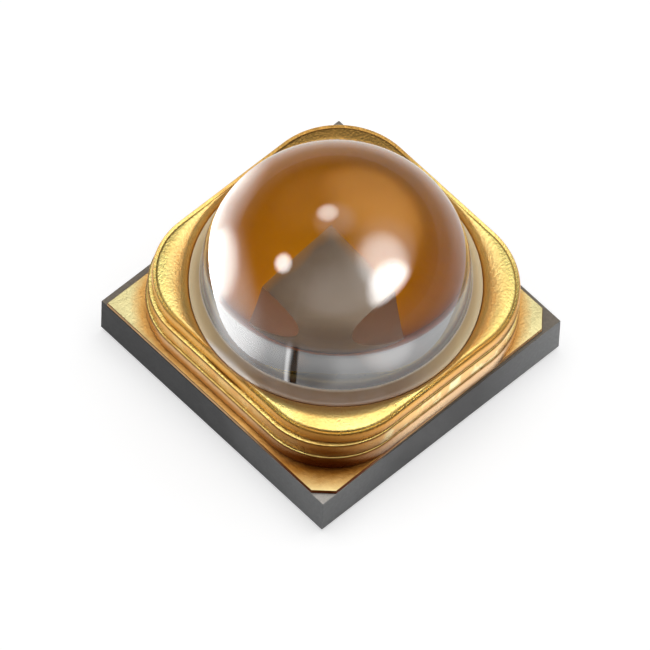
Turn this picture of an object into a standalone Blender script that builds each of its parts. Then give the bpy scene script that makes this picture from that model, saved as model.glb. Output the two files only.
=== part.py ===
"""Surface-mount deep-ultraviolet LED: ceramic base, gold frame plated up in layers, chip and quartz lens.

Metres, +Z up. The origin is the centre of the base, on the plane of the solder pads' undersides. X runs
along the front edge of the base and Y towards its back edge. The sharp corner of the plated frame, at
the back left, marks the cathode's side.
"""

import math
from collections import namedtuple

import bmesh
import bpy
from mathutils import Vector
from mathutils.geometry import interpolate_bezier

MM = 0.001

# Bond line left between two pieces that are plated, bonded or soldered to each other
SEAT_GAP = 0.002 * MM

# Points closer than this are one point, and edges flatter than this angle are shaded round
MERGE_DISTANCE = 0.0001 * MM
SMOOTH_ANGLE = math.radians(35)

# Ceramic base
BASE_SIDE = 3.5 * MM
BASE_THICKNESS = 0.5 * MM
BASE_EDGE_BREAK = 0.006 * MM

# Solder pads under the base
LOWER_PAD_THICKNESS = 0.05 * MM
LOWER_PAD_MARGIN = 0.2 * MM
LOWER_PAD_GAP = 0.35 * MM
LOWER_PAD_CORNER = 0.06 * MM
PAD_CORNER_STEPS = 3

# First plated layer on top of the base: it is the frame's plate and, inside the cavity, the chip's pads
PLATE_THICKNESS = 0.05 * MM
PLATE_MARGIN_LEFT = 0.008 * MM
PLATE_MARGIN_RIGHT = 0.055 * MM
PLATE_MARGIN_FRONT = 0.005 * MM
PLATE_MARGIN_BACK = 0.075 * MM
PLATE_FRONT_SLANT = 0.035 * MM
PLATE_CHAMFER = 0.19 * MM

# Wall of the frame: three plated layers, each a little off the one below it
LOWER_LAYER_HEIGHT = 0.19 * MM
MIDDLE_LAYER_HEIGHT = 0.20 * MM
TOP_LAYER_HEIGHT = 0.16 * MM
LOWER_LAYER_CORNER = 0.87 * MM
MIDDLE_LAYER_CORNER = 0.90 * MM
TOP_LAYER_CORNER = 0.90 * MM
RIGHT_CORNER_EXTRA = 0.10 * MM
LOWER_LAYER_MARGINS = (0.070 * MM, 0.040 * MM, 0.015 * MM, 0.070 * MM)
MIDDLE_LAYER_MARGINS = (0.095 * MM, 0.035 * MM, 0.024 * MM, 0.072 * MM)
TOP_LAYER_MARGINS = (0.145 * MM, 0.022 * MM, 0.036 * MM, 0.080 * MM)
GROOVE_DEPTH = 0.018 * MM
RIM_BEAD_HEIGHT = 0.010 * MM
RIM_BEAD_WIDTH = 0.028 * MM
RIM_VALLEY_DEPTH = 0.018 * MM
RIM_VALLEY_WIDTH = 0.030 * MM
CORNER_STEPS = 10

# Sections of the wall, as shares. From a layer's foot to its shoulder: layer height and groove depth.
# Across the bead: bead width and height over the valley. Across the valley: valley width and depth.
LAYER_SECTION = ((0.0, 1.0), (0.10, 0.35), (0.26, 0.0), (0.72, 0.0), (0.88, 0.22), (1.0, 1.0))
TOP_FOOT_SECTION = ((0.0, 1.0), (0.12, 0.35), (0.30, 0.0))
BEAD_SECTION = ((0.0, -1.9), (0.22, 0.0), (0.55, 1.0), (1.0, 0.5))
VALLEY_SECTION = ((0.5, 1.0), (1.0, 0.2), (1.5, 0.0))

# Lens
LENS_OFFSET_X = 0.028 * MM
LENS_OFFSET_Y = -0.024 * MM
LENS_TO_BASE_EDGE = 0.29 * MM
LENS_SKIRT = 0.26 * MM
LENS_EDGE_BREAK = 0.02 * MM
ROUND_STEPS = 64
DOME_STEPS = 16

# Recess that seats the lens, and the cavity for the chip below it
RECESS_CLEARANCE = 0.12 * MM
RECESS_LIP = 0.085 * MM
LIP_STEPS = 4
LENS_SEAT_WIDTH = 0.21 * MM
LEDGE_HEIGHT = 0.41 * MM

# Adhesive that holds the lens
BOND_LINE = 0.02 * MM
ADHESIVE_INSET = 0.02 * MM
MENISCUS_CLIMB = 0.09 * MM
MENISCUS_DROP = 0.045 * MM
MENISCUS_HOLLOW = 1.5
MENISCUS_STEPS = 6

# Pads under the chip and the vias that join them to the solder pads
PAD_TO_WALL = 0.08 * MM
PAD_SPLIT_WIDTH = 0.12 * MM
PAD_ARC_STEPS = 24
VIA_RADIUS = 0.06 * MM
VIA_LAND = 0.03 * MM
VIA_SPACING = 0.6 * MM
VIA_STEPS = 16

# Chip, mounted with its contacts down, off centre to leave room for the diode. Its side is a share of the
# cavity's radius, and the slot between its contacts lies off its middle by a share of its side.
CHIP_TO_CAVITY = 0.464
CHIP_OFFSET_X = 0.19 * MM
CHIP_OFFSET_Y = 0.195 * MM
CHIP_SPLIT_SHARE = -0.14
SAPPHIRE_THICKNESS = 0.2 * MM
GROWN_LAYERS_THICKNESS = 0.008 * MM
CONTACT_THICKNESS = 0.008 * MM
CONTACT_MARGIN = 0.04 * MM
CONTACT_GAP_MARGIN = 0.02 * MM
SOLDER_THICKNESS = 0.012 * MM
SOLDER_INSET = 0.012 * MM

# Protection diode, on the anode pad, wired to the cathode pad
DIODE_SIDE = 0.24 * MM
DIODE_THICKNESS = 0.10 * MM
DIODE_X = 0.40 * MM
DIE_ATTACH_THICKNESS = 0.012 * MM
DIE_ATTACH_FILLET = 0.01 * MM
BOND_PAD_SIDE = 0.14 * MM
BOND_PAD_THICKNESS = 0.008 * MM

# Gold bond wire
WIRE_RADIUS = 0.0125 * MM
BALL_RADIUS = 0.035 * MM
BALL_HEIGHT = 0.022 * MM
BALL_SECTION = ((0.0, 0.8), (0.3, 1.0), (0.7, 1.0), (1.0, 0.7))
WIRE_RISE = 0.16 * MM
WIRE_RUN_SHARE = 0.45
WIRE_LANDING_INSET = 0.14 * MM
WIRE_TAIL = 0.05 * MM
WIRE_STEPS = 12

# Levels, from the board upwards
BASE_LOW = LOWER_PAD_THICKNESS + SEAT_GAP
BASE_TOP = BASE_LOW + BASE_THICKNESS
METAL_LOW = BASE_TOP + SEAT_GAP
PLATE_TOP = METAL_LOW + PLATE_THICKNESS
WALL_TOP = PLATE_TOP + LOWER_LAYER_HEIGHT + MIDDLE_LAYER_HEIGHT + TOP_LAYER_HEIGHT
LEDGE_TOP = METAL_LOW + LEDGE_HEIGHT
LENS_LOW = LEDGE_TOP + BOND_LINE

# Sizes and places that follow from the sizes above
HALF_BASE = BASE_SIDE / 2
LENS_RADIUS = HALF_BASE - LENS_TO_BASE_EDGE
RECESS_RADIUS = LENS_RADIUS + RECESS_CLEARANCE
CAVITY_RADIUS = LENS_RADIUS - LENS_SEAT_WIDTH
CHIP_SIDE = CAVITY_RADIUS * CHIP_TO_CAVITY
PAD_SPLIT_X = CHIP_OFFSET_X + CHIP_SIDE * CHIP_SPLIT_SHARE
CHIP_PAD_RADIUS = CAVITY_RADIUS - PAD_TO_WALL
VIA_REACH = CHIP_PAD_RADIUS - VIA_LAND - VIA_RADIUS
VIA_X = math.sqrt(VIA_REACH**2 - (VIA_SPACING / 2) ** 2)
LOWER_PAD_INNER = VIA_X - VIA_RADIUS - VIA_LAND
LOWER_PAD_OUTER = HALF_BASE - LOWER_PAD_MARGIN
LENS_CENTRE = (LENS_OFFSET_X, LENS_OFFSET_Y)

Outline = namedtuple("Outline", "left right front back corner")
Ring = namedtuple("Ring", "outline inset z")

GOLD = (0.83, 0.60, 0.22)


def clear_scene():
    for obj in list(bpy.data.objects):
        bpy.data.objects.remove(obj, do_unlink=True)


def make_material(name, colour, roughness, metallic=0.0, transmission=0.0, ior=1.5):
    material = bpy.data.materials.new(name)
    material.use_nodes = True
    shader = material.node_tree.nodes["Principled BSDF"]
    shader.inputs["Base Color"].default_value = (*colour, 1.0)
    shader.inputs["Roughness"].default_value = roughness
    shader.inputs["Metallic"].default_value = metallic
    shader.inputs["Transmission Weight"].default_value = transmission
    shader.inputs["IOR"].default_value = ior
    return material


def ceramic_material():
    return make_material("sintered ceramic", (0.33, 0.32, 0.31), 0.6)


def plated_gold():
    return make_material("plated gold", GOLD, 0.25, 1.0)


def via_copper():
    return make_material("filled via", (0.78, 0.42, 0.28), 0.4, 1.0)


def quartz_material():
    return make_material("fused quartz", (1.0, 1.0, 1.0), 0.0, 0.0, 1.0, 1.46)


def adhesive_material():
    return make_material("clear adhesive", (0.98, 0.93, 0.88), 0.05, 0.0, 1.0, 1.42)


def sapphire_material():
    return make_material("chip sapphire", (0.42, 0.41, 0.42), 0.15)


def grown_layers_material():
    return make_material("grown layers", (0.30, 0.29, 0.33), 0.3)


def contact_material():
    return make_material("chip contact", (0.85, 0.70, 0.45), 0.3, 1.0)


def solder_material():
    return make_material("gold tin solder", (0.72, 0.62, 0.45), 0.45, 1.0)


def silicon_material():
    return make_material("diode silicon", (0.16, 0.16, 0.18), 0.25, 0.4)


def silver_epoxy():
    return make_material("silver die attach", (0.62, 0.62, 0.60), 0.5, 0.8)


def bond_metal():
    return make_material("bond pad metal", (0.80, 0.80, 0.78), 0.35, 1.0)


def wire_gold():
    return make_material("wire gold", GOLD, 0.18, 1.0)


def add_object(name, bm, material, location=(0.0, 0.0, 0.0)):
    mesh = bpy.data.meshes.new(name)
    bmesh.ops.recalc_face_normals(bm, faces=bm.faces)
    bm.to_mesh(mesh)
    bm.free()
    if material:
        mesh.materials.append(material)
    obj = bpy.data.objects.new(name, mesh)
    obj.location = location
    bpy.context.scene.collection.objects.link(obj)
    return obj


def shade_round(obj):
    obj.data.shade_smooth()
    obj.data.set_sharp_from_angle(angle=SMOOTH_ANGLE)


def hide_as_cutter(obj):
    obj.hide_render = True
    obj.display_type = "WIRE"


def combine(obj, other, operation):
    """Joins the other shape to this one, or cuts it away, and keeps the other as a hidden guide."""
    modifier = obj.modifiers.new(other.name, "BOOLEAN")
    modifier.operation = operation
    modifier.solver = "EXACT"
    modifier.object = other
    hide_as_cutter(other)


def slab_mesh(outline, thickness):
    """A flat plate whose underside is the outline at z = 0."""
    bm = bmesh.new()
    face = bm.faces.new([bm.verts.new((x, y, 0.0)) for x, y in outline])
    grown = bmesh.ops.extrude_face_region(bm, geom=[face])
    top = [item for item in grown["geom"] if isinstance(item, bmesh.types.BMVert)]
    bmesh.ops.translate(bm, verts=top, vec=(0.0, 0.0, thickness))
    return bm


def block_mesh(width, depth, height):
    """A box that stands on z = 0, centred on the Z axis."""
    bm = bmesh.new()
    bmesh.ops.create_cube(bm, size=1.0)
    bmesh.ops.scale(bm, vec=(width, depth, height), verts=bm.verts)
    bmesh.ops.translate(bm, vec=(0.0, 0.0, height / 2), verts=bm.verts)
    return bm


def turned_mesh(profile, closed):
    """A profile of (radius, z) points turned round the Z axis; an open one starts and ends on it."""
    bm = bmesh.new()
    verts = [bm.verts.new((radius, 0.0, z)) for radius, z in profile]
    edges = [bm.edges.new(pair) for pair in zip(verts, verts[1:])]
    if closed:
        edges.append(bm.edges.new((verts[-1], verts[0])))
    bmesh.ops.spin(
        bm,
        geom=verts + edges,
        axis=(0.0, 0.0, 1.0),
        cent=(0.0, 0.0, 0.0),
        angle=math.tau,
        steps=ROUND_STEPS,
        use_merge=True,
    )
    bmesh.ops.remove_doubles(bm, verts=bm.verts, dist=MERGE_DISTANCE)
    return bm


def arc_points(centre, radius, start, end, steps):
    """Points on an arc, with both ends, angles in radians."""
    return [
        (
            centre[0] + radius * math.cos(start + (end - start) * step / steps),
            centre[1] + radius * math.sin(start + (end - start) * step / steps),
        )
        for step in range(steps + 1)
    ]


def base_outline(margins, corner):
    """A rectangle set in from the base's left, right, front and back edges by these margins."""
    left, right, front, back = margins
    return Outline(left - HALF_BASE, HALF_BASE - right, front - HALF_BASE, HALF_BASE - back, corner)


def rounded_points(outline, inset):
    """The outline taken in all round, with an arc at each corner, anticlockwise from the front right."""
    quarter = math.pi / 2
    radius = outline.corner - inset
    right_radius = radius + RIGHT_CORNER_EXTRA
    left, right = outline.left + inset, outline.right - inset
    front, back = outline.front + inset, outline.back - inset
    corners = (
        (right - right_radius, front + right_radius, right_radius, -quarter),
        (right - radius, back - radius, radius, 0.0),
        (left + radius, back - radius, radius, quarter),
        (left + radius, front + radius, radius, math.pi),
    )
    points = []
    for x, y, reach, start in corners:
        points += arc_points((x, y), reach, start, start + quarter, CORNER_STEPS)
    return points


def layer_rings(outline, low, height, section):
    """One plated layer: a groove at its foot, an upright flank and, in a whole section, a shoulder."""
    return [Ring(outline, inset * GROOVE_DEPTH, low + share * height) for share, inset in section]


def rim_rings(outline, top):
    """The edge of the top layer: a fine bead, then a valley that rises to the rim."""
    valley_low = top - RIM_VALLEY_DEPTH
    rings = []
    for across, up in BEAD_SECTION:
        rings.append(Ring(outline, across * RIM_BEAD_WIDTH, valley_low + up * RIM_BEAD_HEIGHT))
    for across, down in VALLEY_SECTION:
        inset = RIM_BEAD_WIDTH + across * RIM_VALLEY_WIDTH
        rings.append(Ring(outline, inset, top - down * RIM_VALLEY_DEPTH))
    return rings


def wall_rings():
    """Every ring of the wall from its root, inside the plate, to the inner edge of its rim."""
    lower = base_outline(LOWER_LAYER_MARGINS, LOWER_LAYER_CORNER)
    middle = base_outline(MIDDLE_LAYER_MARGINS, MIDDLE_LAYER_CORNER)
    top = base_outline(TOP_LAYER_MARGINS, TOP_LAYER_CORNER)
    level = PLATE_TOP
    rings = [Ring(lower, GROOVE_DEPTH, METAL_LOW + PLATE_THICKNESS / 2)]
    rings += layer_rings(lower, level, LOWER_LAYER_HEIGHT, LAYER_SECTION)
    level += LOWER_LAYER_HEIGHT
    rings += layer_rings(middle, level, MIDDLE_LAYER_HEIGHT, LAYER_SECTION)
    level += MIDDLE_LAYER_HEIGHT
    rings += layer_rings(top, level, TOP_LAYER_HEIGHT, TOP_FOOT_SECTION)
    return rings + rim_rings(top, WALL_TOP)


def lofted_mesh(rings):
    """The solid whose skin runs through the rings: its upper face is extruded from each ring to the next."""
    bm = bmesh.new()
    first = rounded_points(rings[0].outline, rings[0].inset)
    foot = [bm.verts.new((x, y, rings[0].z)) for x, y in first]
    end = bm.faces.new(foot)
    for ring in rings[1:]:
        end = bmesh.ops.extrude_discrete_faces(bm, faces=[end])["faces"][0]
        for vert, (x, y) in zip(end.verts, rounded_points(ring.outline, ring.inset)):
            vert.co = (x, y, ring.z)
    bm.faces.new(foot)
    return bm


def plate_outline():
    """The first plated layer: a chamfer at three corners and a sharp corner at the back left."""
    left = PLATE_MARGIN_LEFT - HALF_BASE
    right = HALF_BASE - PLATE_MARGIN_RIGHT
    front = PLATE_MARGIN_FRONT - HALF_BASE
    front_right = front + PLATE_FRONT_SLANT
    back = HALF_BASE - PLATE_MARGIN_BACK
    return [
        (left + PLATE_CHAMFER, front),
        (right - PLATE_CHAMFER, front_right),
        (right, front_right + PLATE_CHAMFER),
        (right, back - PLATE_CHAMFER),
        (right - PLATE_CHAMFER, back),
        (left, back),
        (left, front + PLATE_CHAMFER),
    ]


def lip_profile():
    """The recess's edge, rolled over towards the rim."""
    outer = RECESS_RADIUS + RECESS_LIP
    centre = (outer, WALL_TOP - RECESS_LIP)
    curve = arc_points(centre, RECESS_LIP, math.pi, math.pi / 2, LIP_STEPS)
    return curve[:-1] + [(outer, WALL_TOP)]


def hollow_profile():
    """The cavity and the lens recess above it, as one turned cutter that runs past both faces."""
    overshoot = PLATE_THICKNESS
    return [
        (0.0, METAL_LOW - overshoot),
        (CAVITY_RADIUS, METAL_LOW - overshoot),
        (CAVITY_RADIUS, LEDGE_TOP),
        (RECESS_RADIUS, LEDGE_TOP),
        *lip_profile(),
        (RECESS_RADIUS + RECESS_LIP, WALL_TOP + overshoot),
        (0.0, WALL_TOP + overshoot),
    ]


def add_plated_frame():
    """Plate and layered wall, plated as one body, with the cavity and the lens recess cut through them."""
    gold = plated_gold()
    frame = add_object("plated_frame", lofted_mesh(wall_rings()), gold)
    slab = slab_mesh(plate_outline(), PLATE_THICKNESS)
    plate = add_object("plate_guide", slab, gold, (0.0, 0.0, METAL_LOW))
    cutter = turned_mesh(hollow_profile(), False)
    hollow = add_object("hollow_guide", cutter, None, (*LENS_CENTRE, 0.0))
    combine(frame, plate, "UNION")
    combine(frame, hollow, "DIFFERENCE")
    shade_round(frame)


def via_centres():
    """Names and places of the vias, two for each terminal."""
    half = VIA_SPACING / 2
    return {
        "via_cathode_front": (-VIA_X, -half),
        "via_cathode_back": (-VIA_X, half),
        "via_anode_front": (VIA_X, -half),
        "via_anode_back": (VIA_X, half),
    }


def cylinder_mesh(radius, height):
    """A cylinder that stands on z = 0."""
    bm = bmesh.new()
    bmesh.ops.create_cone(
        bm, cap_ends=True, segments=VIA_STEPS, radius1=radius, radius2=radius, depth=height
    )
    bmesh.ops.translate(bm, vec=(0.0, 0.0, height / 2), verts=bm.verts)
    return bm


def add_ceramic_base():
    """The sawn plate, with a drilled hole for each via."""
    bm = block_mesh(BASE_SIDE, BASE_SIDE, BASE_THICKNESS)
    bmesh.ops.bevel(
        bm,
        geom=bm.edges,
        offset=BASE_EDGE_BREAK,
        affect="EDGES",
        segments=1,
        profile=0.5,
        material=-1,
    )
    base = add_object("ceramic_base", bm, ceramic_material(), (0.0, 0.0, BASE_LOW))
    for name, (x, y) in via_centres().items():
        drill = cylinder_mesh(VIA_RADIUS + SEAT_GAP, BASE_THICKNESS * 2)
        place = (x, y, BASE_LOW - BASE_THICKNESS / 2)
        combine(base, add_object(f"{name}_drill", drill, None, place), "DIFFERENCE")


def add_vias():
    copper = via_copper()
    for name, (x, y) in via_centres().items():
        via = add_object(name, cylinder_mesh(VIA_RADIUS, BASE_THICKNESS), copper, (x, y, BASE_LOW))
        shade_round(via)


def pad_outline(left, right):
    """A solder pad across the base, with small round corners."""
    front = LOWER_PAD_MARGIN - HALF_BASE
    radius = LOWER_PAD_CORNER
    quarter = math.pi / 2
    corners = ((right - radius, front + radius), (right - radius, -front - radius))
    corners += ((left + radius, -front - radius), (left + radius, front + radius))
    points = []
    for turn, centre in enumerate(corners, start=-1):
        points += arc_points(centre, radius, turn * quarter, (turn + 1) * quarter, PAD_CORNER_STEPS)
    return points


def add_solder_pads():
    """The terminals along the left and right edges, and the thermal pad between them."""
    thermal_half = LOWER_PAD_INNER - LOWER_PAD_GAP
    spans = {
        "lower_cathode_pad": (-LOWER_PAD_OUTER, -LOWER_PAD_INNER),
        "thermal_pad": (-thermal_half, thermal_half),
        "lower_anode_pad": (LOWER_PAD_INNER, LOWER_PAD_OUTER),
    }
    gold = plated_gold()
    for name, (left, right) in spans.items():
        add_object(name, slab_mesh(pad_outline(left, right), LOWER_PAD_THICKNESS), gold)


def add_chip_pads():
    """Two pads that together fill the cavity's floor, split by a slot under the chip."""
    gold = plated_gold()
    sides = {
        "upper_cathode_pad": (PAD_SPLIT_X - PAD_SPLIT_WIDTH / 2, math.pi),
        "upper_anode_pad": (PAD_SPLIT_X + PAD_SPLIT_WIDTH / 2, 0.0),
    }
    for name, (edge, middle) in sides.items():
        sweep = math.acos(edge / CHIP_PAD_RADIUS * math.cos(middle))
        start, end = middle - sweep, middle + sweep
        outline = arc_points((0.0, 0.0), CHIP_PAD_RADIUS, start, end, PAD_ARC_STEPS)
        pad = add_object(name, slab_mesh(outline, PLATE_THICKNESS), gold, (0.0, 0.0, METAL_LOW))
        shade_round(pad)


def add_chip():
    """Solder joints, contacts, grown layers and sapphire, stacked from the pads upwards."""
    level = PLATE_TOP + SEAT_GAP
    split_low = PAD_SPLIT_X - PAD_SPLIT_WIDTH / 2 - CONTACT_GAP_MARGIN
    split_high = PAD_SPLIT_X + PAD_SPLIT_WIDTH / 2 + CONTACT_GAP_MARGIN
    reach = CHIP_SIDE / 2 - CONTACT_MARGIN
    spans = {"n": (CHIP_OFFSET_X - reach, split_low), "p": (split_high, CHIP_OFFSET_X + reach)}
    solder = solder_material()
    contact = contact_material()
    contact_level = level + SOLDER_THICKNESS + SEAT_GAP
    for polarity, (left, right) in spans.items():
        width = right - left
        centre = ((left + right) / 2, CHIP_OFFSET_Y)
        joint = block_mesh(width - 2 * SOLDER_INSET, 2 * (reach - SOLDER_INSET), SOLDER_THICKNESS)
        add_object(f"solder_{polarity}", joint, solder, (*centre, level))
        metal = block_mesh(width, 2 * reach, CONTACT_THICKNESS)
        add_object(f"contact_{polarity}", metal, contact, (*centre, contact_level))
    level = contact_level + CONTACT_THICKNESS + SEAT_GAP
    centre = (CHIP_OFFSET_X, CHIP_OFFSET_Y)
    grown = block_mesh(CHIP_SIDE, CHIP_SIDE, GROWN_LAYERS_THICKNESS)
    add_object("chip_grown_layers", grown, grown_layers_material(), (*centre, level))
    level += GROWN_LAYERS_THICKNESS + SEAT_GAP
    sapphire = block_mesh(CHIP_SIDE, CHIP_SIDE, SAPPHIRE_THICKNESS)
    add_object("chip_sapphire", sapphire, sapphire_material(), (*centre, level))


def diode_place():
    """Centre of the protection diode, halfway between the chip's front edge and the edge of the pad."""
    chip_edge = CHIP_OFFSET_Y - CHIP_SIDE / 2
    pad_edge = -math.sqrt(CHIP_PAD_RADIUS**2 - (DIODE_X + DIODE_SIDE / 2) ** 2)
    return DIODE_X, (chip_edge + pad_edge) / 2


def add_protection_diode():
    """Die attach, silicon and bond pad, stacked on the anode pad. Returns the bond pad's top level."""
    x, y = diode_place()
    level = PLATE_TOP + SEAT_GAP
    side = DIODE_SIDE + 2 * DIE_ATTACH_FILLET
    attach = block_mesh(side, side, DIE_ATTACH_THICKNESS)
    add_object("diode_die_attach", attach, silver_epoxy(), (x, y, level))
    level += DIE_ATTACH_THICKNESS + SEAT_GAP
    silicon = block_mesh(DIODE_SIDE, DIODE_SIDE, DIODE_THICKNESS)
    add_object("protection_diode", silicon, silicon_material(), (x, y, level))
    level += DIODE_THICKNESS + SEAT_GAP
    pad = block_mesh(BOND_PAD_SIDE, BOND_PAD_SIDE, BOND_PAD_THICKNESS)
    add_object("diode_bond_pad", pad, bond_metal(), (x, y, level))
    return level + BOND_PAD_THICKNESS


def wire_points(pad_level):
    """Centre line and radius of the bond wire: a ball, a loop across the slot and a tail along the pad."""
    x, y = diode_place()
    foot = pad_level + SEAT_GAP
    neck = foot + BALL_HEIGHT
    landing_x = PAD_SPLIT_X - PAD_SPLIT_WIDTH / 2 - WIRE_LANDING_INSET
    landing_z = PLATE_TOP + SEAT_GAP + WIRE_RADIUS
    start = Vector((x, y, neck + WIRE_RADIUS))
    end = Vector((landing_x, y, landing_z))
    loop = interpolate_bezier(
        start,
        start + Vector((0.0, 0.0, WIRE_RISE)),
        end + Vector((x - landing_x, 0.0, 0.0)) * WIRE_RUN_SHARE,
        end,
        WIRE_STEPS,
    )
    points = []
    for up, width in BALL_SECTION:
        points.append((Vector((x, y, foot + up * BALL_HEIGHT)), width * BALL_RADIUS))
    points += [(point, WIRE_RADIUS) for point in loop]
    points.append((end - Vector((WIRE_TAIL, 0.0, 0.0)), WIRE_RADIUS))
    return points


def add_bond_wire(pad_level):
    curve = bpy.data.curves.new("bond_wire", "CURVE")
    curve.dimensions = "3D"
    curve.bevel_depth = WIRE_RADIUS
    curve.bevel_resolution = 2
    curve.use_fill_caps = True
    spline = curve.splines.new("POLY")
    path = wire_points(pad_level)
    spline.points.add(len(path) - 1)
    for point, (place, radius) in zip(spline.points, path):
        point.co = (*place, 1.0)
        point.radius = radius / WIRE_RADIUS
    curve.materials.append(wire_gold())
    bpy.context.scene.collection.objects.link(bpy.data.objects.new("bond_wire", curve))


def lens_profile():
    """A half ball on a short skirt, with a broken edge round its flat base."""
    centre = LENS_LOW + LENS_SKIRT
    dome = arc_points((0.0, centre), LENS_RADIUS, 0.0, math.pi / 2, DOME_STEPS)
    return [
        (0.0, LENS_LOW),
        (LENS_RADIUS - LENS_EDGE_BREAK, LENS_LOW),
        (LENS_RADIUS, LENS_LOW + LENS_EDGE_BREAK),
        *dome[:-1],
        (0.0, centre + LENS_RADIUS),
    ]


def add_lens():
    ball = turned_mesh(lens_profile(), False)
    lens = add_object("quartz_lens", ball, quartz_material(), (*LENS_CENTRE, 0.0))
    shade_round(lens)


def meniscus_profile(inner, outer):
    """The adhesive's free surface, hollow between the recess wall and the lens."""
    low = WALL_TOP - MENISCUS_DROP
    high = WALL_TOP + MENISCUS_CLIMB
    points = []
    for step in range(MENISCUS_STEPS + 1):
        share = step / MENISCUS_STEPS
        sag = (1 - math.cos(share * math.pi / 2)) ** MENISCUS_HOLLOW
        points.append((outer + (inner - outer) * share, low + (high - low) * sag))
    return points


def adhesive_profile():
    """The bond line under the lens and the fillet that fills the recess round it."""
    inner = LENS_RADIUS + SEAT_GAP
    outer = RECESS_RADIUS - SEAT_GAP
    under = LENS_LOW - SEAT_GAP
    return [
        (CAVITY_RADIUS + ADHESIVE_INSET, LEDGE_TOP + SEAT_GAP),
        (outer, LEDGE_TOP + SEAT_GAP),
        *meniscus_profile(inner, outer),
        (inner, under + LENS_EDGE_BREAK),
        (inner - LENS_EDGE_BREAK, under),
        (CAVITY_RADIUS + ADHESIVE_INSET, under),
    ]


def add_adhesive():
    ring = turned_mesh(adhesive_profile(), True)
    adhesive = add_object("lens_adhesive", ring, adhesive_material(), (*LENS_CENTRE, 0.0))
    shade_round(adhesive)


def main():
    clear_scene()
    add_solder_pads()
    add_ceramic_base()
    add_vias()
    add_chip_pads()
    add_plated_frame()
    add_chip()
    add_bond_wire(add_protection_diode())
    add_adhesive()
    add_lens()


main()
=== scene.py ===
"""Looks of a surface-mount ultraviolet LED: gold-plated frame, quartz lens, clear adhesive, chip, ceramic.

Run as a script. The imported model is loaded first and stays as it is; finer pieces stand for the nodes whose
surfaces show, every piece gets its finish, and a pale studio is put round it. Metres, +Z up; the base's front
edge runs along X, and the sharp corner of the frame is at the back left.
"""

import math
from types import SimpleNamespace

import bmesh
import bpy
from bpy.props import FloatProperty, FloatVectorProperty, IntProperty, PointerProperty
from mathutils import Matrix, Vector, noise


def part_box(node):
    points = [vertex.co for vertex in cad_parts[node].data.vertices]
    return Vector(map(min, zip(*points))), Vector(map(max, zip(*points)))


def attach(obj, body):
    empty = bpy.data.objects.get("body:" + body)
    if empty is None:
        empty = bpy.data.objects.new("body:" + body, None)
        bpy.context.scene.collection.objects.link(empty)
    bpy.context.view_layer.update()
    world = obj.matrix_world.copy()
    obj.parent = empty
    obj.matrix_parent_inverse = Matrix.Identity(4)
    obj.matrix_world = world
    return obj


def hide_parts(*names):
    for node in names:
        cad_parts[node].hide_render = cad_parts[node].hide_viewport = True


bl_info = {
    "name": "Ultraviolet LED",
    "version": (1, 0, 0),
    "blender": (4, 5, 0),
    "location": "3D View > Sidebar > UV LED",
    "description": "Dresses the model of a gold-plated ultraviolet LED with a quartz lens",
    "category": "Object",
}

MM = 0.001
BODY = "root"

# Points closer than this are one, heights closer than this are level, and an edge that rises by more than
# the last is upright
MERGE_WITHIN = 0.0001 * MM
LEVEL_WITHIN = 0.000001 * MM
UPRIGHT_OVER = 0.01 * MM

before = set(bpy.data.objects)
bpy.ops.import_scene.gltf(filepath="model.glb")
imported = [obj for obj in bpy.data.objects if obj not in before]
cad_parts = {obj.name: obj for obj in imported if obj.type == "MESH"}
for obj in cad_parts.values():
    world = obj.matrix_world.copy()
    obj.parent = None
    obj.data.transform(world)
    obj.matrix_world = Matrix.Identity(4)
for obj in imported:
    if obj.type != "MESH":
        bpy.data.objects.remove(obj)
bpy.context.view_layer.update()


def middle(low, high):
    return (low + high) / 2


BASE_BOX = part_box("ceramic_base")
WALL_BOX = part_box("plated_frame")
LENS_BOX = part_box("quartz_lens")
ADHESIVE_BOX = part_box("lens_adhesive")

HALF_BASE = BASE_BOX[1].x
LENS_CENTRE = middle(*LENS_BOX)
LENS_RADIUS = (LENS_BOX[1].x - LENS_BOX[0].x) / 2


def length_setting(name, description, size):
    """A length for a user to change, given in millimetres and kept in metres."""
    return FloatProperty(name=name, description=description, default=size * MM, unit="LENGTH")


def colour_setting(name, description, default):
    """A colour for a user to change."""
    return FloatVectorProperty(name=name, description=description, default=default, subtype="COLOR")


class PlatedFrameSizes(bpy.types.PropertyGroup):
    """Sizes of the plated frame that the box of its node doesn't give."""

    plate_thickness: length_setting("Plate thickness", "First plated layer on the ceramic", 0.05)
    plate_right: length_setting("Plate, right", "Ceramic that shows beside it", 0.055)
    plate_back: length_setting("Plate, back", "Ceramic that shows behind it", 0.088)
    plate_chamfer: length_setting("Plate chamfer", "Cut at three corners of the plate", 0.19)
    plate_slant: length_setting("Plate slant", "How far its front edge draws back towards the right", 0.035)
    lower_height: length_setting("Lower layer", "Height of the wall's lower layer", 0.19)
    middle_height: length_setting("Middle layer", "Height of the layer above it", 0.20)
    corner: length_setting("Corner radius", "Radius of the wall's corners", 0.90)
    corner_extra: length_setting("Front right corner", "What its radius has more than the other three", 0.10)
    corner_steps: IntProperty(name="Corner steps", description="Facets in each corner", default=28)
    groove: length_setting("Groove", "Depth of the groove between two layers", 0.018)
    bead_width: length_setting("Bead", "Width of the rim's bead", 0.028)
    bead_height: length_setting("Bead height", "How far the bead stands over its valley", 0.010)
    valley_depth: length_setting("Valley", "Depth of the valley inside the rim's bead", 0.018)
    recess_clearance: length_setting("Recess clearance", "Gap between the lens and the recess round it", 0.12)
    seat_width: length_setting("Seat width", "How far the ledge reaches in under the lens", 0.21)
    lip: length_setting("Lip", "Radius of the recess's edge", 0.085)


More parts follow.
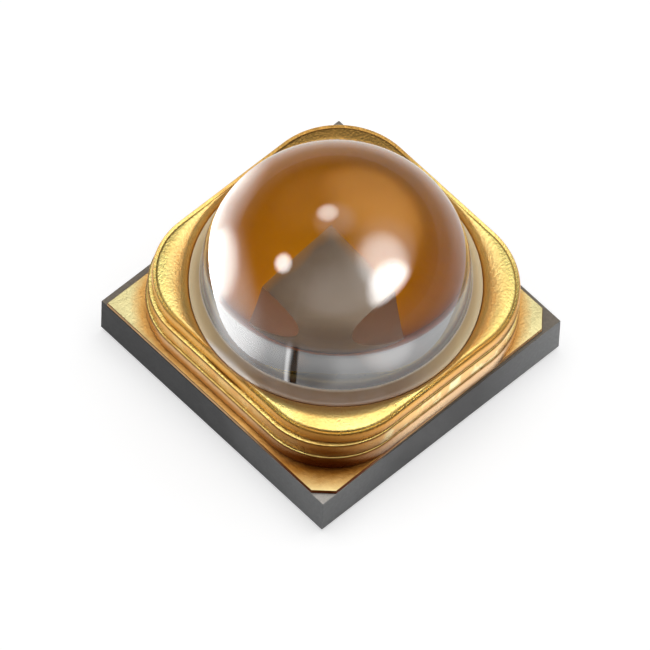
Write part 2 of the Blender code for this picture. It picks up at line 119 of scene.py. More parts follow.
class LensSizes(bpy.types.PropertyGroup):
    """Sizes of the lens and its adhesive."""

    skirt: length_setting("Skirt", "Straight part below the half ball", 0.26)
    edge_break: length_setting("Edge break", "Bevel round the flat underside", 0.02)
    steps: IntProperty(name="Steps", description="Facets round the lens", default=192)
    climb: length_setting("Meniscus climb", "How far it climbs the lens above the rim", 0.09)
    drop: length_setting("Meniscus drop", "How far it stays below the rim at the recess's wall", 0.045)
    waviness: length_setting("Waviness", "Unevenness of the adhesive", 0.012)


class Colours(bpy.types.PropertyGroup):
    """Colours of the finishes."""

    gold: colour_setting("Gold", "Plated gold", (0.90, 0.755, 0.26))
    deep_gold: colour_setting("Deep gold", "Plated gold where it is redder", (0.85, 0.50, 0.13))
    # Painted shade: a darker, redder copy of the gold inside the cavity
    cavity_shade_gold: colour_setting("Cavity gold", "Thin gold inside the cavity", (0.97, 0.39, 0.004))
    # Painted shade: a darker, redder gold laid on the upright flanks and round the wall's foot; it also gives
    # the top its mottle
    mottle_and_shade_gold: colour_setting("Side gold", "Thin gold on the flanks", (0.82, 0.43, 0.11))
    # Painted shade: browner gold at the back corner of the wall's top
    back_shade_gold: colour_setting("Back gold", "Browner gold at the back corner", (0.30, 0.145, 0.03))
    # Painted light: a redder, lighter gold on the slope into the recess, in place of what it mirrors
    lit_slope_gold: colour_setting("Rolled gold", "Redder gold of the slope into the recess", (1.0, 0.67, 0.28))
    # Painted light: a paler copy of the gold for the first plated layer
    lit_pale_gold: colour_setting("Pale gold", "Dull gold of the first plated layer", (0.90, 0.80, 0.41))
    # Painted shade: the dark brown laid in the grooves, round the wall's foot and low on the front corner's
    # flanks
    shade_brown: colour_setting("Tarnish", "Brown in the grooves", (0.16, 0.035, 0.004))
    ceramic: colour_setting("Ceramic", "Sintered ceramic", (0.26, 0.23, 0.19))
    chip: colour_setting("Chip", "Underside of the chip seen through its sapphire", (0.83, 0.81, 0.77))


class StudioSettings(bpy.types.PropertyGroup):
    """Camera and light."""

    azimuth: FloatProperty(
        name="Azimuth",
        description="Camera's turn round the object",
        default=math.radians(-45.23),
        subtype="ANGLE",
    )
    elevation: FloatProperty(
        name="Elevation",
        description="Camera's height over the horizon",
        default=math.radians(56.8),
        subtype="ANGLE",
    )
    roll: FloatProperty(name="Roll", description="Camera's lean", default=math.radians(2.67), subtype="ANGLE")
    distance: FloatProperty(
        name="Distance", description="From the camera to the object", default=0.16, unit="LENGTH"
    )
    lens: FloatProperty(name="Lens", description="Focal length in millimetres", default=823.8)
    ambient: FloatProperty(name="Ambient", description="Strength of the plain room light", default=0.12)


def add_node(tree, kind, inputs=None, **settings):
    """A new node with these settings. An input is a number or colour, or a socket to link."""
    made = tree.nodes.new(kind)
    for key, value in settings.items():
        setattr(made, key, value)
    for key, value in (inputs or {}).items():
        if isinstance(value, bpy.types.NodeSocket):
            tree.links.new(value, made.inputs[key])
        else:
            made.inputs[key].default_value = value
    return made


def millimetres(tree, stretch=(1.0, 1.0, 1.0)):
    """Object coordinates in millimetres."""
    source = add_node(tree, "ShaderNodeTexCoord").outputs["Object"]
    scale = [factor / MM for factor in stretch]
    return add_node(tree, "ShaderNodeMapping", {"Vector": source, "Scale": scale}).outputs["Vector"]


# Levels that most of a cloud lies between
CLOUDY = (0.3, 0.7)


def cloud(tree, where, scale, detail=2.0, roughness=0.5):
    """Noise from 0 to 1 with so many features a millimetre."""
    inputs = {"Vector": where, "Scale": scale, "Detail": detail, "Roughness": roughness}
    return add_node(tree, "ShaderNodeTexNoise", inputs).outputs["Fac"]


def spread(tree, value, low, high, to_low=0.0, to_high=1.0):
    """The value's range from low to high, stretched to the new range and held inside it."""
    inputs = {"Value": value, "From Min": low, "From Max": high, "To Min": to_low, "To Max": to_high}
    return add_node(tree, "ShaderNodeMapRange", inputs).outputs["Result"]


def calculate(tree, operation, first, second=0.0):
    """One step of sums on two values."""
    return add_node(tree, "ShaderNodeMath", {0: first, 1: second}, operation=operation).outputs["Value"]


def plus(tree, first, *others):
    """Sum of these values."""
    for other in others:
        first = calculate(tree, "ADD", first, other)
    return first


def times(tree, first, *others):
    """Product of these values."""
    for other in others:
        first = calculate(tree, "MULTIPLY", first, other)
    return first


def apart(tree, first, second):
    """How far these two values are from each other."""
    return calculate(tree, "ABSOLUTE", calculate(tree, "SUBTRACT", first, second))


def axes(tree, vector):
    """The vector's X, Y and Z."""
    return add_node(tree, "ShaderNodeSeparateXYZ", {"Vector": vector}).outputs


def on_vectors(tree, operation, *vectors):
    """One step of vector sums: its outputs are Vector, and Value for a length or a dot product."""
    return add_node(tree, "ShaderNodeVectorMath", dict(enumerate(vectors)), operation=operation).outputs


def mix_colours(tree, share, first, second):
    """The first colour where the share is 0, the second where it is 1."""
    made = add_node(tree, "ShaderNodeMix", data_type="RGBA")
    for key, value in (("Factor", share), ("A", first), ("B", second)):
        socket = next(item for item in made.inputs if item.name == key and item.enabled)
        if isinstance(value, bpy.types.NodeSocket):
            tree.links.new(value, socket)
        elif key == "Factor":
            socket.default_value = value
        else:
            socket.default_value = (*value, 1.0)
    return next(item for item in made.outputs if item.enabled)


def bump(tree, height, distance, strength=1.0):
    """Normal of a surface with these heights."""
    inputs = {"Height": height, "Distance": distance, "Strength": strength}
    return add_node(tree, "ShaderNodeBump", inputs).outputs["Normal"]


def new_material(name):
    """An empty material with its Principled shader."""
    material = bpy.data.materials.new(name)
    material.use_nodes = True
    tree = material.node_tree
    return material, tree, tree.nodes["Principled BSDF"]


def link_inputs(tree, shader, **inputs):
    """Links or sets the shader's inputs, an underscore standing for a space in a name."""
    for key, value in inputs.items():
        socket = shader.inputs[key.replace("_", " ")]
        if isinstance(value, bpy.types.NodeSocket):
            tree.links.new(value, socket)
        else:
            socket.default_value = value


def finish_nodes(material, *names):
    """Gives CAD nodes this finish."""
    for name in names:
        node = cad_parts[name]
        node.data.materials.clear()
        node.data.materials.append(material)


def object_from(name, bm):
    """A new object with the bmesh's shape."""
    mesh = bpy.data.meshes.new(name)
    bm.to_mesh(mesh)
    bm.free()
    made = bpy.data.objects.new(name, mesh)
    bpy.context.scene.collection.objects.link(made)
    return made


def settle(made, material, slot, *nodes):
    """Gives a new piece its finish and puts it on its body, in place of these nodes."""
    made.data.materials.clear()
    made.data.materials.append(material)
    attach(made, BODY)
    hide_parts(*nodes)


def shade_round(mesh, degrees):
    """Smooth shading, with edges sharper than this left sharp."""
    mesh.shade_smooth()
    mesh.set_sharp_from_angle(angle=math.radians(degrees))


def upright_edges(bm):
    """Edges that go from one height to another."""
    return [edge for edge in bm.edges if abs(edge.verts[0].co.z - edge.verts[1].co.z) > UPRIGHT_OVER]


def edges_at(bm, height):
    """Edges that lie at this height."""
    return [edge for edge in bm.edges if all(abs(vert.co.z - height) < LEVEL_WITHIN for vert in edge.verts)]


def round_off(bm, edges, offset, segments):
    """Bevels these edges, with one segment for a flat cut."""
    bmesh.ops.bevel(
        bm,
        geom=edges,
        offset=offset,
        offset_type="OFFSET",
        affect="EDGES",
        segments=segments,
        profile=0.5,
        material=-1,
    )


def turned(profile, steps, centre):
    """A profile of (radius, z) points turned round a vertical axis through the centre."""
    bm = bmesh.new()
    verts = [bm.verts.new((centre.x + radius, centre.y, z)) for radius, z in profile]
    edges = [bm.edges.new(pair) for pair in zip(verts, verts[1:])]
    if profile[0][0] > 0.0:
        edges.append(bm.edges.new((verts[-1], verts[0])))
    bmesh.ops.spin(
        bm,
        geom=verts + edges,
        axis=(0.0, 0.0, 1.0),
        cent=(centre.x, centre.y, 0.0),
        angle=math.tau,
        steps=steps,
        use_merge=True,
    )
    bmesh.ops.remove_doubles(bm, verts=bm.verts, dist=MERGE_WITHIN)
    bmesh.ops.recalc_face_normals(bm, faces=bm.faces)
    return bm


def combine(made, other, operation):
    """Joins the other shape to this one, or cuts it away, and removes the other."""
    modifier = made.modifiers.new(other.name, "BOOLEAN")
    modifier.operation = operation
    modifier.solver = "EXACT"
    modifier.object = other
    graph = bpy.context.evaluated_depsgraph_get()
    result = bpy.data.meshes.new_from_object(made.evaluated_get(graph))
    made.modifiers.clear()
    made.data = result
    bpy.data.objects.remove(other)


# Middle of a round corner of the wall in millimetres, its height so large that height doesn't count, and
# how steeply the rim rolls into the recess
CORNER_MIDDLE = (0.81, 0.81, 9.0)
ROLL_SLOPE = -0.28

# Heights of a unit normal where a surface starts to count as level, and where it is level
LEVELLING = (0.60, 0.97)


def from_axis(tree, where):
    """Distance in millimetres from the lens's axis, and the place seen from it."""
    axis = [-LENS_CENTRE.x / MM, -LENS_CENTRE.y / MM, 0.0]
    inputs = {"Vector": where, "Location": axis, "Scale": (1.0, 1.0, 0.0)}
    flat = add_node(tree, "ShaderNodeMapping", inputs).outputs["Vector"]
    return on_vectors(tree, "LENGTH", flat)["Value"], flat


def corner_reach(tree, where):
    """Distance in millimetres from the middle of the nearest round corner of the wall."""
    away = on_vectors(tree, "ABSOLUTE", where)["Vector"]
    away = on_vectors(tree, "SUBTRACT", away, CORNER_MIDDLE)["Vector"]
    away = on_vectors(tree, "MAXIMUM", away, (0.0, 0.0, 0.0))["Vector"]
    return on_vectors(tree, "LENGTH", away)["Value"]


def towards_front(tree, place):
    """How far a point lies towards the front corner: X and Y together, in millimetres."""
    return times(tree, plus(tree, place["X"], place["Y"]), -1.0)


def towards_right(tree, place):
    """How far a point lies towards the right corner, in the same way."""
    return calculate(tree, "SUBTRACT", place["X"], place["Y"])


def groove_shade(tree, spot):
    """1 in the grooves between the plated layers, fading out within a ragged width of them."""
    sizes = bpy.context.scene.uv_led_frame
    level = WALL_BOX[0].z + sizes.plate_thickness
    width = spread(tree, spot.ripple, *CLOUDY, 0.02, 0.055)
    shade = 0.0
    for height in (0.0, sizes.lower_height, sizes.middle_height):
        level += height
        away = calculate(tree, "DIVIDE", apart(tree, spot.place["Z"], level / MM), width)
        shade = calculate(tree, "MAXIMUM", shade, calculate(tree, "SUBTRACT", 1.0, away))
    return shade


def rolled_rim(tree, spot):
    """Height in millimetres of the wide roll from rim to recess, and 0 on the rim to 1 at the recess."""
    sizes = bpy.context.scene.uv_led_frame
    parts = axes(tree, spot.flat)
    square = times(tree, spot.reach, spot.reach)
    corner = calculate(tree, "DIVIDE", times(tree, parts["X"], parts["Y"]), square)
    corner = calculate(tree, "ABSOLUTE", corner)
    corner = times(tree, corner, spread(tree, towards_front(tree, parts), 0.8, 2.0, 1.0, 0.75))
    width = spread(tree, corner, 0.2, 0.5, 0.05, 0.24)
    start = (LENS_RADIUS + sizes.recess_clearance + sizes.lip * 0.4) / MM
    across = calculate(tree, "DIVIDE", calculate(tree, "SUBTRACT", spot.reach, start), width)
    left = spread(tree, across, 0.0, 1.0, 1.0, 0.0)
    return times(tree, left, left, width, ROLL_SLOPE), left


def upright_share(tree):
    """1 on upright surfaces and 0 on level ones."""
    normal = add_node(tree, "ShaderNodeNewGeometry").outputs["Normal"]
    return spread(tree, axes(tree, normal)["Z"], *LEVELLING, 1.0, 0.0)


# Where the shadow at the front corner starts and ends, in millimetres towards that corner
FRONT_CORNER = (2.2, 2.9)

# Tints of the gold: painted shade on the first layer at the front and round the wall's foot, the wall's
# layers with painted highlight streaks on the middle one, and their painted shadow
PLATE_FRONT_SHADE = (0.74, 0.58, 0.27)
PLATE_FOOT_SHADE = (0.80, 0.38, 0.05)
LOWER_LAYER = (0.68, 0.46, 0.27)
PAINTED_FLANK_HIGHLIGHTS = (1.0, 0.90, 0.46)
TOP_LAYER = (0.66, 0.34, 0.08)
FRONT_SHADOW = (0.68, 0.29, 0.05)


def gold_spot(tree):
    """Where a point of the gold lies, in millimetres, and the clouds that its colours share."""
    where = millimetres(tree)
    place = axes(tree, where)
    front = towards_front(tree, place)
    reach, flat = from_axis(tree, where)
    return SimpleNamespace(
        where=where,
        place=place,
        front=front,
        corner=spread(tree, front, *FRONT_CORNER),
        reach=reach,
        flat=flat,
        drift=cloud(tree, where, 1.5, 3.0),
        grain=cloud(tree, where, 34.0, 4.0, 0.6),
        ripple=cloud(tree, where, 9.0, 3.0),
    )


def rim_gold(tree, spot, roll):
    """Colour of the wall's top: cloudy, brown at the back corner as painted shade, redder where it rolls into
    the recess as painted light.
    """
    colours = bpy.context.scene.uv_led_colours
    tint = mix_colours(tree, spread(tree, spot.drift, 0.42, 0.66, 0.0, 0.65), colours.gold, colours.deep_gold)
    back = plus(tree, spot.place["X"], spot.place["Y"], spot.drift)
    tint = mix_colours(tree, spread(tree, back, 1.9, 2.8, 0.0, 0.9), tint, colours.back_shade_gold)
    tint = mix_colours(tree, spread(tree, roll, 0.0, 0.6, 0.0, 0.6), tint, colours.lit_slope_gold)
    return mix_colours(tree, spread(tree, spot.grain, 0.5, 0.7, 0.0, 0.45), tint, colours.mottle_and_shade_gold)


def plate_gold(tree, spot):
    """Colour of the first layer: pale as painted light, with painted shade at the front and a painted shadow
    round the wall's foot that is widest at the front.
    """
    colours = bpy.context.scene.uv_led_colours
    pale = mix_colours(tree, spread(tree, spot.front, 1.9, 2.6, 0.0, 0.8), colours.lit_pale_gold, PLATE_FRONT_SHADE)
    foot = plus(tree, corner_reach(tree, spot.where), times(tree, spot.ripple, 0.1))
    # Painted shade: an orange fringe of the shadow round the wall's foot at the front corner
    glow = times(tree, spread(tree, foot, 1.0, 1.25, 0.95, 0.0), spot.corner)
    pale = mix_colours(tree, glow, pale, PLATE_FOOT_SHADE)
    edge = spread(tree, spot.corner, 0.0, 1.0, 1.08, 1.22)
    brown = mix_colours(tree, spot.corner, colours.mottle_and_shade_gold, colours.shade_brown)
    return mix_colours(tree, spread(tree, foot, 0.95, edge, 0.9, 0.0), pale, brown)


def flank_gold(tree, spot, plate_top):
    """Colour of the wall's flanks in a redder gold as painted shade: each layer has its own, with painted
    highlight streaks, and painted shade at the front.
    """
    colours = bpy.context.scene.uv_led_colours
    sizes = bpy.context.scene.uv_led_frame
    z = spot.place["Z"]
    flank = mix_colours(
        tree, spread(tree, spot.ripple, 0.35, 0.65, 0.0, 0.8), colours.mottle_and_shade_gold, colours.deep_gold
    )
    level = plate_top + sizes.lower_height / MM
    flank = mix_colours(tree, spread(tree, z, level - 0.02, level, 0.7, 0.0), flank, LOWER_LAYER)
    level += sizes.middle_height / MM / 2
    aside = spread(tree, towards_right(tree, spot.place), -0.6, 1.0, 0.25, 1.0)
    upper = times(tree, spread(tree, z, level + 0.09, level + 0.11, 0.0, 0.75), aside)
    flank = mix_colours(tree, upper, flank, TOP_LAYER)
    # Painted highlights: bright streaks on the middle layer, strongest towards the right
    highlight_streak = spread(tree, cloud(tree, spot.where, 4.5, 2.0), 0.46, 0.58, 0.15, 1.0)
    highlight_streak = times(tree, aside, highlight_streak, spread(tree, apart(tree, z, level), 0.08, 0.10, 1.0, 0.0))
    flank = mix_colours(tree, highlight_streak, flank, PAINTED_FLANK_HIGHLIGHTS)
    low = spread(tree, z, plate_top, WALL_BOX[1].z / MM, 1.0, 0.0)
    shadow = mix_colours(tree, low, FRONT_SHADOW, colours.shade_brown)
    return mix_colours(tree, spot.corner, flank, shadow)


def cavity_share(tree, spot, plate_top):
    """1 inside the cavity and on its floor, and 0 outside."""
    edge = (LENS_RADIUS - bpy.context.scene.uv_led_frame.seat_width) / MM
    inside = spread(tree, spot.reach, edge + 0.01, edge + 0.04, 1.0, 0.0)
    return times(tree, inside, spread(tree, spot.place["Z"], plate_top - 0.06, plate_top - 0.04))


def plated_gold(name, roughness):
    """Electroplated gold: fine nodules, cloudy changes of colour, and flanks and cavity in a redder gold as
    painted shade.
    """
    colours = bpy.context.scene.uv_led_colours
    material, tree, shader = new_material(name)
    spot = gold_spot(tree)
    plate_top = (WALL_BOX[0].z + bpy.context.scene.uv_led_frame.plate_thickness) / MM
    plate = spread(tree, spot.place["Z"], plate_top, plate_top + 0.01, 1.0, 0.0)
    fall, roll = rolled_rim(tree, spot)
    steep = upright_share(tree)
    tint = mix_colours(tree, plate, rim_gold(tree, spot, roll), plate_gold(tree, spot))
    tint = mix_colours(tree, steep, tint, flank_gold(tree, spot, plate_top))
    # Painted shade in the grooves between the layers
    shade = times(tree, groove_shade(tree, spot), spread(tree, steep, 0.0, 1.0, 0.0, 0.85))
    tint = mix_colours(tree, shade, tint, colours.shade_brown)
    # Painted shade: the gold inside the cavity darker and redder
    inside = cavity_share(tree, spot, plate_top)
    tint = mix_colours(tree, inside, tint, colours.cavity_shade_gold)
    nodules = times(tree, spot.grain, spread(tree, inside, 0.0, 1.0, 0.006, 0.001))
    dull = calculate(tree, "MAXIMUM", inside, times(tree, plate, 0.7))
    dull = calculate(tree, "MAXIMUM", dull, times(tree, roll, 0.6))
    link_inputs(
        tree,
        shader,
        Base_Color=tint,
        Metallic=1.0,
        Roughness=spread(tree, plus(tree, spot.drift, dull), 0.3, 1.6, roughness, roughness + 0.34),
        Normal=bump(tree, plus(tree, nodules, fall), MM),
    )
    return material


# Tints of the ceramic: painted shade on its sides at the left and at the right, painted light where they
# catch the light and on its top at the front corner, and its pores
SHADED_SIDE_LEFT = (0.076, 0.076, 0.078)
SHADED_SIDE_RIGHT = (0.09, 0.09, 0.092)
LIT_SIDE = (0.45, 0.455, 0.46)
LIT_TOP_FRONT = (0.62, 0.58, 0.53)
PORES = (0.02, 0.02, 0.02)


def sintered_ceramic():
    """Ceramic with a fine light and dark grain: painted light on its top at the front corner, its sides
    darker as painted shade with painted light towards the front and the right, and faint saw lines on its
    sides.
    """
    colours = bpy.context.scene.uv_led_colours
    material, tree, shader = new_material("sintered ceramic")
    where = millimetres(tree)
    place = axes(tree, where)
    grain = cloud(tree, where, 30.0, 4.0, 0.7)
    front = plus(tree, towards_front(tree, place), cloud(tree, where, 1.1, 2.0))
    aside = spread(tree, towards_right(tree, place), -1.5, 1.5)
    right = spread(tree, place["X"], 0.5, 1.75)
    bright = calculate(tree, "MAXIMUM", spread(tree, front, 2.4, 3.6, 0.0, 0.7), right)
    side_shade_and_light = mix_colours(tree, bright, mix_colours(tree, aside, SHADED_SIDE_LEFT, SHADED_SIDE_RIGHT), LIT_SIDE)
    top_with_lit_front = mix_colours(tree, spread(tree, front, 2.9, 3.4), colours.ceramic, LIT_TOP_FRONT)
    tone = mix_colours(tree, upright_share(tree), top_with_lit_front, side_shade_and_light)
    saw_lines = cloud(tree, millimetres(tree, (1.0, 1.0, 14.0)), 3.0, 2.0)
    link_inputs(
        tree,
        shader,
        Base_Color=mix_colours(tree, spread(tree, grain, 0.35, 0.65, 0.28, 0.0), tone, PORES),
        Roughness=spread(tree, grain, *CLOUDY, 0.42, 0.62),
        # Painted light: a specular level that rises towards the front corner and the right
        Specular_IOR_Level=plus(tree, spread(tree, front, 2.2, 3.6, 0.20, 0.85), times(tree, aside, 0.06)),
        Normal=bump(tree, plus(tree, grain, times(tree, saw_lines, 0.5)), 0.002 * MM, 0.6),
    )
    return material


# Refractive index of the lens and of its adhesive
QUARTZ_INDEX = 1.42


def fused_quartz():
    """Polished fused quartz."""
    material, tree, shader = new_material("fused quartz")
    link_inputs(
        tree,
        shader,
        Base_Color=(1.0, 1.0, 1.0, 1.0),
        Roughness=0.0,
        IOR=QUARTZ_INDEX,
        Transmission_Weight=1.0,
    )
    return material


# Tints of the adhesive: two of its haze, painted shade at its outer edge, painted light at its left and
# right, and the painted highlight line where it ends
HAZE = ((0.95, 0.77, 0.64), (0.84, 0.60, 0.42))
OUTER_SHADE = (0.50, 0.30, 0.16)
ASIDE_LIGHT = (1.0, 0.82, 0.50)
PAINTED_HIGHLIGHT_LINE = (1.0, 0.92, 0.84)

# How far left of the lens's axis, in millimetres, the adhesive carries a painted glint as pale as that line
PAINTED_GLINT_LEFT = (-1.50, -1.535)


def clear_adhesive():
    """Clear adhesive with a warm haze, cloudier in places, painted shade at its outer edge, painted light at
    its left and right, and a painted highlight line where it ends on the lens.
    """
    material, tree, shader = new_material("clear adhesive")
    where = millimetres(tree)
    ripple = cloud(tree, where, 3.0, 3.0)
    tint = mix_colours(tree, spread(tree, ripple, *CLOUDY), *HAZE)
    reach, flat = from_axis(tree, where)
    foot = LENS_RADIUS / MM
    tint = mix_colours(tree, spread(tree, reach, foot + 0.05, foot + 0.13, 0.0, 0.9), tint, OUTER_SHADE)
    parts = axes(tree, flat)
    aside = apart(tree, parts["X"], parts["Y"])
    tint = mix_colours(tree, spread(tree, aside, 1.0, 1.9, 0.0, 0.9), tint, ASIDE_LIGHT)
    line = spread(tree, plus(tree, reach, times(tree, ripple, 0.006)), foot + 0.010, foot + 0.018, 1.0, 0.0)
    line = calculate(tree, "MAXIMUM", line, spread(tree, parts["X"], *PAINTED_GLINT_LEFT))
    # Less clear at its left and right and along the highlight line, so that the painted light shows
    clear = times(tree, spread(tree, aside, 1.0, 1.9, 0.5, 0.15), spread(tree, line, 0.0, 1.0, 1.0, 0.1))
    link_inputs(
        tree,
        shader,
        Base_Color=mix_colours(tree, line, tint, PAINTED_HIGHLIGHT_LINE),
        Roughness=spread(tree, ripple, *CLOUDY, 0.06, 0.14),
        IOR=QUARTZ_INDEX,
        Transmission_Weight=clear,
    )
    return material


# Tints of the chip: gold along its back edges, painted light on its sides, gold at their foot, and what its
# shaded part keeps of its colour
CHIP_BORDER = (0.80, 0.42, 0.12)
LIT_CHIP_SIDE = (0.95, 0.92, 0.90)
CHIP_FOOT = (0.98, 0.62, 0.26)
CHIP_SHADE = (0.38, 0.30, 0.24)


def chip_border(tree, where, place, high):
    """Share of gold that shows in the chip's face close to its two back edges."""
    across = calculate(tree, "SUBTRACT", high.x / MM, place["X"])
    along = calculate(tree, "SUBTRACT", high.y / MM, place["Y"])
    ragged = spread(tree, cloud(tree, where, 8.0), *CLOUDY, -0.015, 0.015)
    nearest = plus(tree, calculate(tree, "MINIMUM", across, along), ragged)
    return spread(tree, nearest, 0.0, 0.07, 0.75, 0.0)


def chip_sapphire():
    """Sapphire with dull metal under its face, painted shade that lightens towards the front, painted light
    on its sides, and gold at its sides' foot.
    """
    chip = bpy.context.scene.uv_led_colours.chip
    material, tree, shader = new_material("chip sapphire")
    where = millimetres(tree)
    low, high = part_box("chip_sapphire")
    place = axes(tree, where)
    drift = times(tree, cloud(tree, where, 3.0, 2.0), 0.3)
    light = spread(tree, plus(tree, place["Y"], drift), low.y / MM + 0.15, high.y / MM + 0.15, 1.0, 0.0)
    dark = [channel * share for channel, share in zip(chip, CHIP_SHADE)]
    tone = mix_colours(tree, light, dark, chip)
    tone = mix_colours(tree, chip_border(tree, where, place, high), tone, CHIP_BORDER)
    back_corner = plus(tree, place["X"], place["Y"], times(tree, drift, 0.1))
    tone = mix_colours(tree, spread(tree, back_corner, 0.02, 0.13, 0.75, 0.0), tone, dark)
    upright = upright_share(tree)
    tone = mix_colours(tree, upright, tone, LIT_CHIP_SIDE)
    foot = times(tree, upright, spread(tree, place["Z"], low.z / MM, high.z / MM, 1.4, -0.5))
    link_inputs(
        tree,
        shader,
        Base_Color=mix_colours(tree, spread(tree, foot, 0.0, 1.0), tone, CHIP_FOOT),
        Roughness=spread(tree, cloud(tree, where, 20.0), *CLOUDY, 0.12, 0.2),
        IOR=1.77,
        Specular_IOR_Level=0.05,
        Coat_Weight=1.0,
        Coat_IOR=1.02,
        Coat_Tint=(0.66, 0.58, 0.50, 1.0),
    )
    return material


def worked_metal(name, colour, roughness, scale, metallic=1.0):
    """A small metal or silicon part with a fine grain in its colour and surface."""
    material, tree, shader = new_material(name)
    grain = cloud(tree, millimetres(tree), scale, 3.0)
    dark = [channel * 0.8 for channel in colour]
    link_inputs(
        tree,
        shader,
        Base_Color=mix_colours(tree, grain, dark, colour),
        Metallic=metallic,
        Roughness=spread(tree, grain, *CLOUDY, roughness * 0.8, roughness * 1.2),
        Normal=bump(tree, grain, 0.001 * MM, 0.5),
    )
    return material


def layer_block(margins, low, high, shoulder):
    """One plated layer: a block with round corners, its upper and lower edges broken."""
    sizes = bpy.context.scene.uv_led_frame
    left, right, front, back = margins
    bm = bmesh.new()
    bmesh.ops.create_cube(bm, size=1.0)
    width = 2 * HALF_BASE - left - right
    depth = 2 * HALF_BASE - front - back
    bmesh.ops.scale(bm, vec=(width, depth, high - low), verts=bm.verts)
    centre = ((left - right) / 2, (front - back) / 2, (low + high) / 2)
    bmesh.ops.translate(bm, vec=centre, verts=bm.verts)
    upright = upright_edges(bm)
    larger = [edge for edge in upright if edge.verts[0].co.x > 0.0 and edge.verts[0].co.y < 0.0]
    others = [edge for edge in upright if edge not in larger]
    for edges, radius in ((larger, sizes.corner + sizes.corner_extra), (others, sizes.corner)):
        round_off(bm, edges, radius, sizes.corner_steps)
    for level, offset, segments in ((low, sizes.groove, 2), (high, shoulder, 4)):
        if offset > 0.0:
            round_off(bm, edges_at(bm, level), offset, segments)
    return bm


def rim_block(margins, low, high):
    """The top layer, with the bead and the valley round its rim."""
    sizes = bpy.context.scene.uv_led_frame
    valley = high - sizes.valley_depth
    foot = valley - sizes.bead_height * 1.9
    bm = layer_block(margins, low, foot, 0.0)
    top = max(bm.faces, key=lambda face: face.calc_center_median().z)
    # Steps inwards and upwards: the flank's upper edge, over the bead, down into the valley and up again
    steps = (
        (sizes.bead_width * 0.22, valley - foot),
        (sizes.bead_width * 0.33, sizes.bead_height),
        (sizes.bead_width * 0.45, -sizes.bead_height * 0.5),
        (sizes.bead_width * 0.55, -sizes.bead_height * 0.5),
        (sizes.bead_width * 0.55, sizes.valley_depth * 0.8),
        (sizes.bead_width * 0.55, sizes.valley_depth * 0.2),
    )
    for across, up in steps:
        bmesh.ops.inset_region(bm, faces=[top], thickness=across, depth=0.0, use_even_offset=True)
        bmesh.ops.translate(bm, vec=(0.0, 0.0, up), verts=top.verts)
    return bm


def plate_block(low, high):
    """The first plated layer: chamfered at three corners, sharp at the back left, its front edge slanted."""
    sizes = bpy.context.scene.uv_led_frame
    bm = bmesh.new()
    bmesh.ops.create_cube(bm, size=1.0)
    lower = WALL_BOX[0]
    for vert in bm.verts:
        vert.co.x = lower.x if vert.co.x < 0.0 else HALF_BASE - sizes.plate_right
        if vert.co.y > 0.0:
            vert.co.y = HALF_BASE - sizes.plate_back
        else:
            vert.co.y = lower.y + (sizes.plate_slant if vert.co.x > 0.0 else 0.0)
        vert.co.z = low if vert.co.z < 0.0 else high
    cut = [edge for edge in upright_edges(bm) if edge.verts[0].co.x > 0.0 or edge.verts[0].co.y < 0.0]
    round_off(bm, cut, sizes.plate_chamfer, 1)
    round_off(bm, edges_at(bm, high), sizes.plate_thickness * 0.16, 3)
    return bm


# Facets across the lip, the adhesive between the lens and its ledge, how far a layer reaches down into the
# one below, and the gap that the adhesive keeps to its neighbours
LIP_STEPS = 8
BOND_LINE = 0.02 * MM
LAYER_OVERLAP = 0.012 * MM
SEAT_GAP = 0.002 * MM


def hollow_profile():
    """Cavity, ledge, recess and rolled lip, from the axis outwards."""
    sizes = bpy.context.scene.uv_led_frame
    top = WALL_BOX[1].z
    recess = LENS_RADIUS + sizes.recess_clearance
    cavity = LENS_RADIUS - sizes.seat_width
    spare = sizes.plate_thickness
    lip_turns = [math.pi / 2 * step / LIP_STEPS for step in range(LIP_STEPS + 1)]
    lip = [
        (recess + sizes.lip * (1 - math.cos(turn)), top - sizes.lip + sizes.lip * math.sin(turn))
        for turn in lip_turns
    ]
    ledge = LENS_BOX[0].z - BOND_LINE
    return [
        (0.0, WALL_BOX[0].z - spare),
        (cavity, WALL_BOX[0].z - spare),
        (cavity, ledge),
        (recess, ledge),
        *lip,
        (recess + sizes.lip, top + spare),
        (0.0, top + spare),
    ]


# Ceramic that shows beside each layer: left, right, front and back
LAYER_MARGINS = {
    "lower": (0.070 * MM, 0.040 * MM, 0.015 * MM, 0.070 * MM),
    "middle": (0.095 * MM, 0.035 * MM, 0.024 * MM, 0.072 * MM),
    "top": (0.145 * MM, 0.022 * MM, 0.036 * MM, 0.080 * MM),
}

# Nodes that are plated like the frame
PADS = ("upper_cathode_pad", "upper_anode_pad", "lower_cathode_pad", "lower_anode_pad", "thermal_pad")


class UVLED_OT_plated_frame(bpy.types.Operator):
    """Build the gold-plated frame: plate, three plated layers, cavity and lens recess"""

    bl_idname = "uv_led.plated_frame"
    bl_label = "Plated Frame"

    def execute(self, context):
        sizes = context.scene.uv_led_frame
        base, top = WALL_BOX[0].z, WALL_BOX[1].z
        plate_top = base + sizes.plate_thickness
        lower_top = plate_top + sizes.lower_height
        middle_top = lower_top + sizes.middle_height
        made = object_from("gold_frame", plate_block(base, plate_top))
        shoulder = sizes.groove
        layers = (
            layer_block(LAYER_MARGINS["lower"], plate_top - LAYER_OVERLAP, lower_top, shoulder),
            layer_block(LAYER_MARGINS["middle"], lower_top - LAYER_OVERLAP, middle_top, shoulder),
            rim_block(LAYER_MARGINS["top"], middle_top - LAYER_OVERLAP, top),
        )
        for bm in layers:
            combine(made, object_from("layer", bm), "UNION")
        hollow = turned(hollow_profile(), context.scene.uv_led_lens.steps, LENS_CENTRE)
        combine(made, object_from("hollow", hollow), "DIFFERENCE")
        shade_round(made.data, 35)
        weighted = made.modifiers.new("even shading", "WEIGHTED_NORMAL")
        weighted.keep_sharp = True
        gold = plated_gold("plated gold", 0.22)
        settle(made, gold, "plated_gold", "plated_frame")
        finish_nodes(gold, *PADS)
        return {"FINISHED"}


